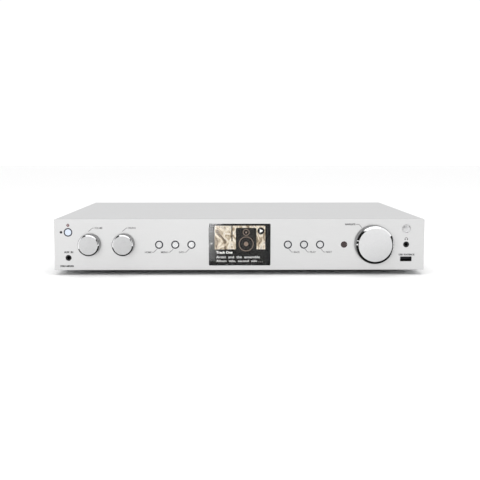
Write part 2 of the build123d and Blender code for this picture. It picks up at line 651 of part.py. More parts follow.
def supply_transformer():
    """Switching transformer: two ferrite halves around a wound bobbin."""
    x, depth, low = -150.0, 190.0, BOARD_TOP
    top = low + 32
    core = block(x - 20, x + 20, depth - 8, depth + 8, low + 4, top)
    core = core - block(x - 14, x - 7, depth - 9, depth + 9, low + 10, top - 6)
    core = core - block(x + 7, x + 14, depth - 9, depth + 9, low + 10, top - 6)
    winding = Pos(x, y_at(depth), (low + 10 + top - 6) / 2) * Box(27.6, 25, top - 16 - low - 0.4)
    winding = fillet(winding.edges().filter_by(Axis.Z), 3.0)
    winding = winding - core
    base = block(x - 18, x + 18, depth - 12, depth + 12, low, low + 4)
    return [core, winding, base]


def supply_capacitors():
    tall = [post(-120.0, depth, BOARD_TOP, BOARD_TOP + 36, 10.5) for depth in (150.0, 176.0)]
    small = [post(x, 236.0, BOARD_TOP, BOARD_TOP + 22, 6.0) for x in (-182.0, -166.0, -110.0)]
    choke = post(-188.0, 158.0, BOARD_TOP, BOARD_TOP + 18, 11.0) - post(-188.0, 158.0, 0, 60, 4.5)
    return tall + small + [choke]


def amplifier_heatsink():
    """Extruded heatsink across the amplifier board, fins up."""
    x0, x1, near, far = 100.0, 192.0, 176.0, 206.0
    sink = block(x0, x1, near, far, BOARD_TOP + 3, BOARD_TOP + 8)
    count = 14
    for i in range(count):
        x = x0 + 1.0 + (x1 - x0 - 2.0) * i / (count - 1)
        sink = sink + block(x - 1.0, x + 1.0, near, far, BOARD_TOP + 8, BOARD_TOP + 36)
    feet = [block(x, x + 4, near, far, BOARD_TOP, BOARD_TOP + 3) for x in (x0, x1 - 4)]
    return fuse(sink, *feet)


def output_coils():
    """Output filter inductors and their film capacitors, one set for each terminal."""
    made = []
    for x in lever_xs():
        made.append(post(x, 240.0, BOARD_TOP, BOARD_TOP + 13, 5.4))
        made.append(block(x - 4.5, x + 4.5, 252.0, 259.0, BOARD_TOP, BOARD_TOP + 11))
    made.append(block(118.0, 134.0, 184.0, 198.0, BOARD_TOP, BOARD_TOP + 3))
    made.append(block(158.0, 174.0, 184.0, 198.0, BOARD_TOP, BOARD_TOP + 3))
    return made


def tuner_can():
    can = block(-68, -41, 240.0, REAR_INSIDE - 6, BOARD_TOP, 44.0)
    radio = block(-30, 6, 176.0, 214.0, BOARD_TOP, BOARD_TOP + 3.2)
    return [can, radio]


# ---------------------------------------------------------------- wiring held inside
def bend_radii(points):
    """The largest arc at each corner that leaves a tenth of the shorter run straight."""
    radii = []
    for before, here, after in zip(points, points[1:], points[2:]):
        a, b, c = Vector(*before), Vector(*here), Vector(*after)
        turn = math.radians((b - a).get_angle(c - b))
        shorter = min((b - a).length, (c - b).length)
        radii.append(0.45 * shorter / math.tan(turn / 2))
    return radii


def swept(points, section):
    line = FilletPolyline(*points, radius=bend_radii(points))
    plane = Plane(origin=line @ 0, z_dir=line % 0, x_dir=(1, 0, 0))
    return sweep(plane * section, path=line)


def display_ribbon():
    """Flat cable from the control board to the main board, and the screen's short tail."""
    start = block(-11, 11, CONTROL_BACK, CONTROL_BACK + 4, 30.0, 36.0)
    end = block(-11, 11, 170.0, 175.0, BOARD_TOP, BOARD_TOP + 6)
    run = [(CONTROL_BACK + 4, 33), (42, 33), (84, 46), (122, 42), (152, BOARD_TOP + 4), (170, BOARD_TOP + 4)]
    ribbon = swept([(0, y_at(depth), z) for depth, z in run], Rectangle(20, 0.4))
    module_back = LENS_THICK + 5.3
    drop = [(module_back, 21), (12, 21), (12, 12), (CONTROL_BACK + 2.2, 12), (CONTROL_BACK + 2.2, 18)]
    tail = swept([(0, y_at(depth), z) for depth, z in drop], Rectangle(24, 0.3))
    tail_plug = block(-13, 13, CONTROL_BACK, CONTROL_BACK + 4, 18.0, 22.0)
    return [start, ribbon, end, tail, tail_plug]


def supply_harness():
    """Supply leads that run in front of the main board from the supply to the amplifier board."""
    made = []
    plug_out = block(-112, -98, 206.0, 213.0, BOARD_TOP, BOARD_TOP + 8)
    plug_in = block(92, 106, 150.0, 157.0, BOARD_TOP, BOARD_TOP + 8)
    made += [plug_out, plug_in]
    for i in range(3):
        dx = 3.2 * i
        route = [
            (-109 + dx, y_at(206.0), BOARD_TOP + 5),
            (-109 + dx, y_at(172.0 - dx), BOARD_TOP + 10),
            (-94 + dx, y_at(137.0 - dx), BOARD_TOP + 7),
            (-40, y_at(128.0 - dx), BOARD_TOP + 1),
            (20, y_at(126.0 - dx), BOARD_TOP + 1.5),
            (72 + dx, y_at(128.0 - dx), BOARD_TOP + 4),
            (96 + dx, y_at(135.0 - dx), BOARD_TOP + 6),
            (96 + dx, y_at(150.0), BOARD_TOP + 5),
        ]
        made.append(swept(route, Circle(0.9)))
    return made


def mains_leads():
    """Leads from the inlet to the switch, looped one inside the other, and on down to the supply board."""
    made = []
    for side in (-1, 1):
        start_x, end_x = INLET_X + side * 4.3, SWITCH_X - side * 5
        loop = LIP_FRONT - 32 + side * 4
        route = [
            (start_x, y_at(LIP_FRONT - 20), INLET_Z),
            (start_x, y_at(loop), INLET_Z),
            (end_x, y_at(loop), INLET_Z + 3.5),
            (end_x, y_at(LIP_FRONT - 21), INLET_Z + 3.5),
        ]
        made.append(swept(route, Circle(1.0)))
        drop = [
            (end_x, y_at(LIP_FRONT - 21), INLET_Z - 3.5),
            (end_x, y_at(LIP_FRONT - 29), INLET_Z - 3.5),
            (end_x, y_at(LIP_FRONT - 29), BOARD_TOP),
        ]
        made.append(swept(drop, Circle(1.0)))
    return made


# ---------------------------------------------------------------- every node
def nodes():
    made = {
        "front_panel": [front_panel()],
        "top_cover": [top_cover()],
        "chassis_tray": [chassis_tray()],
        "rear_panel": [rear_panel()],
        "feet": [foot(x, d) for x, d in foot_places()],
        "foot_pads": [foot_pad(x, d) for x, d in foot_places()],
        "foot_screws": [foot_screw(x, d) for x, d in foot_places()],
        "cover_screws": side_screw_list() + rear_screw_list(),
        "inner_screws": board_screw_list() + panel_screw_list() + control_screw_list(),
        "display_lens": [display_lens()],
        "display_frame": [display_frame()],
        "display_module": display_module(),
        "control_board": [control_board()],
        "control_components": control_components(),
        "button_bezels": button_bezels(),
        "standby_button": [push_button(LEFT_COLUMN_X, STANDBY_Z, STANDBY_R)],
        "speaker_button": [speaker_button()],
        "sensor_lens": [rod(SENSOR_X, SENSOR_Z, 0, SUBPANEL_BACK, 0.95)],
        "ir_window": [ir_window()],
        "aux_jack": [phone_jack(LEFT_COLUMN_X, AUX_Z)],
        "headphone_jack": [phone_jack(RIGHT_COLUMN_X, ROW_Z)],
        "usb_socket": usb_socket(),
        "encoder_bodies": [encoder_body(x, name == "navigation") for name, (x, _, _) in KNOBS.items()],
        "encoder_nuts": [encoder_nut(x) for x, _, _ in KNOBS.values()],
        "navigation_plunger": [navigation_plunger()],
        "power_supply_board": [circuit_board(SUPPLY)],
        "supply_transformer": supply_transformer(),
        "supply_capacitors": supply_capacitors(),
        "amplifier_board": [circuit_board(AMP)],
        "amplifier_heatsink": [amplifier_heatsink()],
        "output_coils": output_coils(),
        "main_board": [circuit_board(MAIN)],
        "tuner_can": tuner_can(),
        "board_pillars": board_pillars(),
        "display_ribbon": display_ribbon(),
        "power_leads": supply_harness() + mains_leads(),
        "mains_inlet": mains_inlet(),
        "mains_switch_housing": [mains_switch_housing()],
        "mains_rocker": [mains_rocker()],
        "terminal_block": [terminal_block()],
        "rca_housings": [rca_housing(x) for x in RCA_X],
        "rca_sleeves": [rca_sleeve(x, z) for x in RCA_X for z in RCA_Z],
        "antenna_socket": antenna_socket(),
        "network_socket": [network_socket()],
    }
    for name, (x, radius, bevel) in KNOBS.items():
        made[f"{name}_knob"] = [knob(x, radius, bevel)]
        made[f"{name}_shaft"] = [d_shaft(x, -KNOB_REACH + 3.5, SHAFT_BACK)]
    for i, x in enumerate(button_xs(), start=1):
        made[f"menu_button_{i}"] = [push_button(x, ROW_Z, BUTTON_R)]
    for i, x in enumerate(lever_xs(), start=1):
        made[f"terminal_lever_{i}"] = [terminal_lever(x)]
    return made


def main():
    os.makedirs("parts", exist_ok=True)
    for name, shapes in nodes().items():
        solids = [solid for shape in shapes for solid in shape.solids()]
        whole = solids[0] if len(solids) == 1 else Compound(children=solids)
        export_step(whole, f"parts/{name}.step")


main()
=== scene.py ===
"""Looks of the integrated amplifier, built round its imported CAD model."""
import math

import bmesh
import bpy
from mathutils import Matrix, Vector


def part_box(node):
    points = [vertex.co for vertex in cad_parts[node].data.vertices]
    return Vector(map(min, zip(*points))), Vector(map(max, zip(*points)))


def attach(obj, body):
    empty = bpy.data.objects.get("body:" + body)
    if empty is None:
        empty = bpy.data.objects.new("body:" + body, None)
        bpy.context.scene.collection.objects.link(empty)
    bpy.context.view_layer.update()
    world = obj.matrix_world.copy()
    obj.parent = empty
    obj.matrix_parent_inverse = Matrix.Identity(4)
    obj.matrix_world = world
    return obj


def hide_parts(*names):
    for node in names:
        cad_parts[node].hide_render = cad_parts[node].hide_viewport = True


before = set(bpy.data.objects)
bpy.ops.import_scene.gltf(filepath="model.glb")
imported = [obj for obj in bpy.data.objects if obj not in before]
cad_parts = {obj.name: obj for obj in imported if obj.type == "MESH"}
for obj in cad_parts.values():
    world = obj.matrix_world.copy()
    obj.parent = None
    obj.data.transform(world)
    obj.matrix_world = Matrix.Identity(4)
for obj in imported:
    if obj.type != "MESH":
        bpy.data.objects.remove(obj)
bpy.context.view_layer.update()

MM = 0.001  # the object's places and sizes are in mm here, and MM turns them into Blender's metres
ROOT = "chassis"


# ---------------------------------------------------------------- places read from the CAD model, in mm
def box_mm(node):
    """Lowest and highest corner of a CAD node."""
    low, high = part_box(node)
    return low / MM, high / MM


def centre(node):
    low, high = box_mm(node)
    return (low + high) / 2


def radius_of(node):
    low, high = box_mm(node)
    return (high.x - low.x) / 2


PANEL_LOW, PANEL_HIGH = box_mm("front_panel")
LENS_LOW, LENS_HIGH = box_mm("display_lens")
FACE = PANEL_LOW.y
REAR = box_mm("rear_panel")[1].y
COVER_TOP = box_mm("top_cover")[1].z
ROW = (PANEL_LOW.z + PANEL_HIGH.z) / 2  # height of the row of knobs, buttons and screen
SCREEN = FACE + 2.9  # front of the screen module


def depths(node):
    """Front and back of a node, measured from the panel's face."""
    low, high = box_mm(node)
    return low.y - FACE, high.y - FACE


def place_on_panel(node):
    """Blender place of a round piece whose axis goes through the panel's face."""
    return (centre(node).x * MM, FACE * MM, centre(node).z * MM)


# ---------------------------------------------------------------- materials
BRUSHED = (0.012, 1, 1)  # draws a texture out into long lines along X
NOISE_SPAN = (0.32, 0.68)  # part of the scale from 0 to 1 that noise mostly fills


class Surface:
    """A procedural material under construction, on one Principled shader."""

    def __init__(self, name, color, metallic=0.0, roughness=0.5, **sockets):
        self.material = bpy.data.materials.new(name)
        self.material.use_nodes = True
        self.tree = self.material.node_tree
        self.shader = self.tree.nodes["Principled BSDF"]
        self.shader.inputs["Base Color"].default_value = (*color, 1.0)
        self.shader.inputs["Metallic"].default_value = metallic
        self.shader.inputs["Roughness"].default_value = roughness
        for socket, value in sockets.items():
            self.shader.inputs[socket.replace("_", " ")].default_value = value
        self.color = color
        self.roughness = roughness

    def node(self, kind, **settings):
        made = self.tree.nodes.new(kind)
        for key, value in settings.items():
            setattr(made, key, value)
        return made

    def link(self, start, end):
        self.tree.links.new(start, end)

    def coordinates(self, stretch=(1, 1, 1)):
        mapping = self.node("ShaderNodeMapping")
        mapping.inputs["Scale"].default_value = stretch
        self.link(self.node("ShaderNodeTexCoord").outputs["Object"], mapping.inputs["Vector"])
        return mapping.outputs["Vector"]

    def noise(self, size_mm, stretch=(1, 1, 1), detail=3.0):
        """Noise with features of about that size; stretch below 1 draws them out along an axis."""
        made = self.node("ShaderNodeTexNoise")
        made.inputs["Scale"].default_value = 1.0 / (size_mm * MM)
        made.inputs["Detail"].default_value = detail
        self.link(self.coordinates(stretch), made.inputs["Vector"])
        return made.outputs["Fac"]

    def rings(self, pitch_mm, distortion):
        """Turning marks round the piece's own Y axis; the texture's waves are about 1 / (pi * scale) long."""
        wave = self.node("ShaderNodeTexWave", wave_type="RINGS", rings_direction="Y")
        wave.inputs["Scale"].default_value = 1.0 / (math.pi * pitch_mm * MM)
        wave.inputs["Distortion"].default_value = distortion
        self.link(self.node("ShaderNodeTexCoord").outputs["Object"], wave.inputs["Vector"])
        return wave.outputs["Fac"]

    def ramp(self, factor, low, high, socket):
        """Runs a socket from low to high over the part of the scale that noise mostly fills."""
        made = self.node("ShaderNodeValToRGB")
        for element, position, tone in zip(made.color_ramp.elements, NOISE_SPAN, (low, high)):
            element.position = position
            element.color = (*tone, 1.0)
        self.link(factor, made.inputs["Fac"])
        self.link(made.outputs["Color"], self.shader.inputs[socket])

    def tones(self, factor, spread):
        """Base colour a little darker and lighter than the plain one."""
        low = [c * (1 - spread) for c in self.color]
        high = [min(1.0, c * (1 + spread)) for c in self.color]
        self.ramp(factor, low, high, "Base Color")

    def uneven(self, factor, below, above):
        """Roughness that goes a little below and above the plain one."""
        self.ramp(factor, [self.roughness - below] * 3, [self.roughness + above] * 3, "Roughness")

    def bump(self, height, depth_mm, strength):
        made = self.node("ShaderNodeBump")
        made.inputs["Distance"].default_value = depth_mm * MM
        made.inputs["Strength"].default_value = strength
        self.link(height, made.inputs["Height"])
        self.link(made.outputs["Normal"], self.shader.inputs["Normal"])


def anodised(
    name, color, roughness, stretch=BRUSHED, grain_mm=0.22, depth_mm=0.006, spread=0.02, metallic=0.25
):
    """Satin anodised or plated metal: a pale skin over fine grain, straight where it is stretched."""
    made = Surface(name, color, metallic, roughness, Specular_IOR_Level=0.3)
    grain = made.noise(grain_mm, stretch, detail=4.0)
    made.tones(grain, spread)
    made.uneven(made.noise(9.0, (0.3, 1, 1)), below=0.03, above=0.03)
    made.bump(grain, depth_mm, strength=0.5)
    return made.material


def turned(name, color, roughness, pitch_mm, depth_mm=0.004, spread=0.02):
    """Metal with fine rings from the lathe."""
    made = Surface(name, color, metallic=1.0, roughness=roughness)
    marks = made.rings(pitch_mm, distortion=0.6)
    made.tones(made.noise(1.4), spread)
    made.uneven(made.noise(4.0), below=0.02, above=0.02)
    made.bump(marks, depth_mm, strength=0.4)
    return made.material


def plastic(name, color, roughness, grain_mm=0.5, depth_mm=0.015, spread=0.06, **sockets):
    """Moulded plastic with a fine spark-eroded texture."""
    made = Surface(name, color, roughness=roughness, **sockets)
    made.tones(made.noise(6.0), spread)
    made.uneven(made.noise(3.0, detail=5.0), below=0.05, above=0.06)
    made.bump(made.noise(grain_mm, detail=2.0), depth_mm, strength=0.4)
    return made.material


def printed(name, color, spread=0.15):
    """Dull screen-printing ink."""
    return plastic(name, color, 0.5, grain_mm=0.3, depth_mm=0.004, spread=spread)


def coated_steel(name, color, roughness):
    """Metallic lacquer over sheet steel, with a slight orange peel."""
    made = Surface(name, color, metallic=0.35, roughness=roughness, Specular_IOR_Level=0.35)
    made.tones(made.noise(0.35, detail=2.0), spread=0.03)
    made.uneven(made.noise(60.0), below=0.01, above=0.015)
    made.bump(made.noise(1.1, detail=1.0), depth_mm=0.02, strength=0.25)
    return made.material


def lit(name, color, strength, spread=0.05, size_mm=2.0, specular=0.02):
    """A surface that gives off its own light, with slight unevenness in its dim body colour."""
    body_share = 0.15  # of the light's colour
    body = [c * body_share for c in color]
    made = Surface(name, body, roughness=0.4, Specular_IOR_Level=specular)
    made.tones(made.noise(size_mm), spread)
    made.shader.inputs["Emission Color"].default_value = (*color, 1.0)
    made.shader.inputs["Emission Strength"].default_value = strength
    return made


def screen_artwork():
    """Cover picture on the screen: a plastered wall with broad painted strokes."""
    made = lit("screen_artwork", (0.50, 0.42, 0.32), strength=1.25)
    strokes = made.node("ShaderNodeTexNoise")
    for socket, value in (("Scale", 130.0), ("Detail", 6.0), ("Distortion", 2.2)):
        strokes.inputs[socket].default_value = value
    made.link(made.coordinates((1.0, 1.0, 0.55)), strokes.inputs["Vector"])
    ramp = made.node("ShaderNodeValToRGB")
    tones = (
        (0.36, (0.10, 0.07, 0.045)),
        (0.43, (0.30, 0.23, 0.15)),
        (0.49, (0.52, 0.44, 0.33)),
        (0.57, (0.72, 0.67, 0.58)),
        (0.68, (0.26, 0.22, 0.19)),
    )
    while len(ramp.color_ramp.elements) < len(tones):
        ramp.color_ramp.elements.new(0.5)
    for element, (position, tone) in zip(ramp.color_ramp.elements, tones):
        element.position = position
        element.color = (*tone, 1.0)
    made.link(strokes.outputs["Fac"], ramp.inputs["Fac"])
    made.link(ramp.outputs["Color"], made.shader.inputs["Emission Color"])
    return made


def acrylic():
    """Clear window with the faintest waviness."""
    made = Surface("lens_acrylic", (0.96, 0.965, 0.97), roughness=0.02, IOR=1.36, Transmission_Weight=1.0)
    made.bump(made.noise(30.0), depth_mm=0.002, strength=0.2)
    return made.material


# each finish: its material's name, colour and roughness (or its strength of light), then what sets it apart
MATERIALS = {
    # front: bare metal
    "panel": anodised("panel_aluminium", (0.55, 0.55, 0.55), 0.5, metallic=0.06),
    "dome": turned("dome_aluminium", (0.64, 0.642, 0.646), 0.27, pitch_mm=0.5),
    "knob_face": turned("knob_face_aluminium", (0.72, 0.722, 0.726), 0.30, pitch_mm=0.25),
    "knob_bevel": turned(
        "knob_bevel_polished", (0.88, 0.885, 0.89), 0.06, pitch_mm=0.12, depth_mm=0.001, spread=0.01
    ),
    "knob_side": turned("knob_side_aluminium", (0.20, 0.202, 0.206), 0.22, pitch_mm=0.3, depth_mm=0.002),
    # front: mouldings
    "collar": plastic(
        "collar_moulding", (0.020, 0.022, 0.030), 0.35, grain_mm=0.8, depth_mm=0.006, Specular_IOR_Level=0.25
    ),
    "button": plastic(
        "silver_moulding", (0.60, 0.602, 0.606), 0.34, grain_mm=0.6, depth_mm=0.004, spread=0.02, Metallic=0.3
    ),
    "mask": plastic("screen_mask", (0.005, 0.005, 0.006), 0.40, depth_mm=0.004, Specular_IOR_Level=0.04),
    "ir": plastic(
        "infrared_filter", (0.026, 0.012, 0.012), 0.12,
        grain_mm=1.5, depth_mm=0.004, spread=0.12, Coat_Weight=0.15,
    ),
    "lens": acrylic(),
    # casing and fittings
    "cover": coated_steel("cover_lacquer", (0.545, 0.546, 0.549), 0.48),
    "rear": coated_steel("rear_lacquer", (0.55, 0.555, 0.56), 0.45),
    "zinc": anodised(
        "zinc_plated_steel", (0.60, 0.61, 0.62), 0.38, (1, 0.03, 1), grain_mm=0.4, depth_mm=0.01, spread=0.06
    ),
    "bright_steel": anodised(
        "bright_steel", (0.70, 0.70, 0.70), 0.24, (1, 1, 1), grain_mm=0.6, depth_mm=0.004, spread=0.05
    ),
    "nickel": turned("nickel_plate", (0.80, 0.77, 0.72), 0.16, pitch_mm=0.4, depth_mm=0.003),
    "black": plastic("black_moulding", (0.014, 0.014, 0.015), 0.42, Specular_IOR_Level=0.3),
    "red": plastic("red_moulding", (0.48, 0.02, 0.02), 0.35),
    "white": plastic("white_moulding", (0.70, 0.70, 0.68), 0.38, depth_mm=0.01, spread=0.03),
    "rubber": plastic("soft_rubber", (0.022, 0.022, 0.022), 0.75, grain_mm=0.4, depth_mm=0.05, spread=0.15),
    # inside
    "board": plastic("solder_mask", (0.02, 0.16, 0.07), 0.30, grain_mm=1.4, depth_mm=0.03, spread=0.25),
    "chips": plastic("component_moulding", (0.03, 0.03, 0.034), 0.45),
    "cans": anodised("capacitor_cans", (0.20, 0.21, 0.30), 0.32, (1, 1, 0.1), grain_mm=0.5),
    "ferrite": plastic(
        "ferrite_and_tape", (0.10, 0.085, 0.05), 0.55, grain_mm=0.8, depth_mm=0.04, spread=0.2
    ),
    "heatsink": anodised("heatsink_black", (0.10, 0.10, 0.105), 0.42, (1, 0.05, 1), grain_mm=0.4),
    "cable": plastic("cable_insulation", (0.35, 0.03, 0.03), 0.45, grain_mm=0.8, depth_mm=0.01, spread=0.12),
    "ribbon": plastic("ribbon_cable", (0.62, 0.60, 0.55), 0.4, grain_mm=0.9, depth_mm=0.01, spread=0.05),
    # printing, and the pale dot on the lens
    "ink": printed("legend_ink", (0.035, 0.035, 0.038)),
    "red_ink": printed("red_legend_ink", (0.11, 0.014, 0.017)),
    "pale_dot": printed("pale_lens_dot", (0.70, 0.70, 0.70), spread=0.06),
    # lit surfaces
    "standby": lit("standby_diffuser", (0.78, 0.86, 0.98), 0.80, specular=0.2).material,
    "screen_black": lit("screen_black", (0.012, 0.011, 0.010), 0.6, spread=0.3).material,
    "screen_white": lit("screen_white", (0.90, 0.89, 0.86), 1.3, spread=0.02).material,
    "screen_grey": lit("screen_grey", (0.72, 0.71, 0.70), 1.2, spread=0.03).material,
    "screen_dark": lit("screen_dark_shape", (0.018, 0.016, 0.015), 0.7, spread=0.5, size_mm=3.0).material,
    "screen_warm": lit("screen_warm_shape", (0.36, 0.27, 0.21), 0.7, spread=0.25, size_mm=1.2).material,
    "artwork": screen_artwork().material,
}

CAD_FINISHES = {
    "panel": ["front_panel"],
    "cover": ["top_cover"],
    "zinc": ["chassis_tray", "tuner_can", "encoder_bodies"],
    "rear": ["rear_panel"],
    "bright_steel": [
        "foot_screws", "cover_screws", "inner_screws", "encoder_nuts", "network_socket",
        "volume_shaft", "source_shaft", "navigation_shaft",
    ],
    "nickel": ["board_pillars", "rca_sleeves", "antenna_socket"],
    "black": [
        "feet", "aux_jack", "headphone_jack", "usb_socket", "navigation_plunger", "sensor_lens",
        "mains_inlet", "mains_switch_housing", "mains_rocker", "rca_housings",
        "terminal_block", "terminal_lever_2", "terminal_lever_4",
    ],
    "red": ["terminal_lever_1", "terminal_lever_3"],
    "mask": ["display_frame", "display_module"],
    "collar": ["button_bezels"],
    "ir": ["ir_window"],
    "board": ["control_board", "power_supply_board", "amplifier_board", "main_board"],
    "chips": ["control_components", "output_coils"],
    "cans": ["supply_capacitors"],
    "ferrite": ["supply_transformer"],
    "heatsink": ["amplifier_heatsink"],
    "rubber": ["foot_pads"],
    "cable": ["power_leads"],
    "ribbon": ["display_ribbon"],
}


def finish_cad_nodes():
    for finish, nodes in CAD_FINISHES.items():
        for node in nodes:
            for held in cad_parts[node].material_slots:
                held.material = MATERIALS[finish]


# ---------------------------------------------------------------- building blocks
def add_piece(name, mesh, materials, body, place=(0, 0, 0), bevel_mm=0.0, sharp_deg=32):
    """Makes an object of the mesh, shades it, and lets it ride on the body."""
    piece = bpy.data.objects.new(name, mesh)
    bpy.context.scene.collection.objects.link(piece)
    piece.location = place
    for key in materials:
        mesh.materials.append(MATERIALS[key])
    mesh.polygons.foreach_set("use_smooth", [True] * len(mesh.polygons))
    mesh.set_sharp_from_angle(angle=math.radians(sharp_deg))
    if bevel_mm:
        modifier = piece.modifiers.new("edges", "BEVEL")
        modifier.width = bevel_mm * MM
        modifier.segments = 3
        modifier.limit_method = "ANGLE"
        modifier.angle_limit = math.radians(sharp_deg)
        modifier.harden_normals = True
    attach(piece, body)
    return piece


def to_mesh(name, bm):
    bmesh.ops.recalc_face_normals(bm, faces=bm.faces)
    mesh = bpy.data.meshes.new(name)
    bm.to_mesh(mesh)
    bm.free()
    return mesh


def lathe(name, profile, segments, bands=None):
    """Turns (radius, depth) points round the local Y axis; bands give each step's material index."""
    bm = bmesh.new()
    rings = []
    for radius, depth in profile:
        count = segments if radius > 0 else 1
        turns = [2 * math.pi * i / segments for i in range(count)]
        points = [(radius * MM * math.cos(t), depth * MM, radius * MM * math.sin(t)) for t in turns]
        rings.append([bm.verts.new(point) for point in points])
    for step, (first, second) in enumerate(zip(rings, rings[1:])):
        for i in range(segments):
            j = (i + 1) % segments
            near, far = len(first), len(second)
            corners = [first[i % near], first[j % near], second[j % far], second[i % far]]
            unique = list(dict.fromkeys(corners))
            if len(unique) > 2:
                bm.faces.new(unique).material_index = bands[step] if bands else 0
    return to_mesh(name, bm)


def add_prism(bm, outline, near, far, material=0):
    """Adds a closed prism over an outline of (x, z) points, between two depths."""
    front = [bm.verts.new((x * MM, near * MM, z * MM)) for x, z in outline]
    back = [bm.verts.new((x * MM, far * MM, z * MM)) for x, z in outline]
    made = [bm.faces.new(front), bm.faces.new(back)]
    for i in range(len(outline)):
        j = (i + 1) % len(outline)
        made.append(bm.faces.new((front[i], front[j], back[j], back[i])))
    for face in made:
        face.material_index = material


def rectangle(left, right, bottom, top):
    return [(left, bottom), (right, bottom), (right, top), (left, top)]


def rounded_rectangle(x, z, width, height, radius, steps=6):
    points = []
    for side_x, side_z, start in ((1, 1, 0), (-1, 1, 90), (-1, -1, 180), (1, -1, 270)):
        corner_x = x + side_x * (width / 2 - radius)
        corner_z = z + side_z * (height / 2 - radius)
        for i in range(steps + 1):
            angle = math.radians(start + 90 * i / steps)
            points.append((corner_x + radius * math.cos(angle), corner_z + radius * math.sin(angle)))
    return points


def strip(start, end, width):
    """Outline of a thin straight line between two (x, z) points."""
    a, b = Vector(start), Vector(end)
    side = (b - a).normalized().orthogonal() * width / 2
    return [tuple(p) for p in (a - side, b - side, b + side, a + side)]


def arc_band(x, z, inner, outer, start_deg, end_deg, steps=24):
    """Outline of a piece of a ring."""
    turns = [math.radians(start_deg + (end_deg - start_deg) * i / steps) for i in range(steps + 1)]
    outside = [(x + outer * math.cos(t), z + outer * math.sin(t)) for t in turns]
    inside = [(x + inner * math.cos(t), z + inner * math.sin(t)) for t in reversed(turns)]
    return outside + inside


def ring(x, z, inner, outer, steps=24):
    """Whole ring, left open by a tenth of a degree so that its ends stay apart."""
    return arc_band(x, z, inner, outer, 0, 359.9, steps)


def disc(x, z, radius, steps=24):
    pinhole = 0.0001
    return ring(x, z, pinhole, radius, steps)


def add_text(bm, words, left, right, z, height, near, far, material=0, mirrored=False, bold=0.0):
    """Adds a line of lettering, fitted between left and right and to a height, as shallow prisms."""
    curve = bpy.data.curves.new("lettering", "FONT")
    curve.body = words
    curve.extrude = 0.5  # any thickness will do, because it only tells the front from the back
    curve.offset = bold
    curve.resolution_u = 3
    holder = bpy.data.objects.new("lettering", curve)
    bpy.context.scene.collection.objects.link(holder)
    bpy.context.view_layer.update()
    mesh = bpy.data.meshes.new_from_object(holder)
    xs = [v.co.x for v in mesh.vertices]
    ys = [v.co.y for v in mesh.vertices]
    scale_x = (right - left) / (max(xs) - min(xs)) * (-1 if mirrored else 1)
    scale_z = height / (max(ys) - min(ys))
    mid_x, mid_y = (max(xs) + min(xs)) / 2, (max(ys) + min(ys)) / 2
    for v in mesh.vertices:
        x = (left + right) / 2 + (v.co.x - mid_x) * scale_x
        depth = near if v.co.z > 0 else far
        v.co = (x * MM, depth * MM, (z + (v.co.y - mid_y) * scale_z) * MM)
    before = len(bm.faces)
    bm.from_mesh(mesh)
    bm.faces.ensure_lookup_table()
    for face in bm.faces[before:]:
        face.material_index = material
    bpy.data.objects.remove(holder)
    bpy.data.meshes.remove(mesh)
    bpy.data.curves.remove(curve)


# ---------------------------------------------------------------- knobs and buttons
STEM_RADIUS = 1.8  # of every button, behind its shoulder


def build_knob(node, body, bevel):
    """Turned cap with a dished face and a polished bevel, hollow behind, with a hub for the shaft."""
    front, back = depths(node)
    radius = radius_of(node)
    face_radius = radius - bevel
    face_steps = 10
    dish = 0.028 * radius
    slope = 0.75  # depth of the bevel over its width
    edge = 0.55  # softened corner between the bevel and the side
    wall = 1.8
    ceiling = front + 3.4
    hub, bore = 5.6, 3.1
    bore_front = front + 3.8
    turns = [i / face_steps for i in range(face_steps + 1)]
    profile = [(face_radius * t, front + dish * (1 - t ** 2)) for t in turns]
    profile += [
        (radius - edge, front + (bevel - edge) * slope),
        (radius - edge * 0.25, front + bevel * slope),
        (radius, front + bevel * slope + edge),
        (radius, back),
        (radius - wall, back),
        (radius - wall, ceiling),
        (hub, ceiling),
        (hub, back),
        (bore, back),
        (bore, bore_front),
        (0, bore_front),
    ]
    face, polished, side = range(3)
    bands = [face] * face_steps + [polished]
    bands += [side] * (len(profile) - 1 - len(bands))
    mesh = lathe(node + "_turned", profile, segments=192, bands=bands)
    finishes = ["knob_face", "knob_bevel", "knob_side"]
    piece = add_piece(node + "_turned", mesh, finishes, body, place_on_panel(node), bevel_mm=0.08)
    piece.visible_diffuse = False  # soft light goes past the cap, so the panel round it stays pale
    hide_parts(node)


def shoulder_and_stem(radius, shoulder_radius, start, end, back):
    """Profile behind a button's cap: a wider shoulder from start to end, then the stem."""
    return [
        (radius, start),
        (shoulder_radius, start),
        (shoulder_radius, end),
        (STEM_RADIUS, end),
        (STEM_RADIUS, back),
        (0, back),
    ]


def build_button(node, material):
    """Cap with a slightly dished face and a softly rounded edge, in the CAD button's sizes."""
    front, back = depths(node)
    shoulder_radius = radius_of(node)
    radius = shoulder_radius - 1.0
    shoulder = back - 1.4
    dish = 0.12
    edge, edge_steps = 0.45, 6
    flat = radius - edge
    profile = [(0, front + dish), (flat * 0.6, front + dish / 2), (flat, front)]
    for i in range(1, edge_steps + 1):
        angle = math.radians(90 * i / edge_steps)
        profile.append((flat + edge * math.sin(angle), front + edge - edge * math.cos(angle)))
    profile += shoulder_and_stem(radius, shoulder_radius, shoulder, shoulder + 0.8, back)
    mesh = lathe(node + "_cap", profile, segments=64)
    piece = add_piece(node + "_cap", mesh, [material], node, place_on_panel(node), sharp_deg=50)
    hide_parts(node)


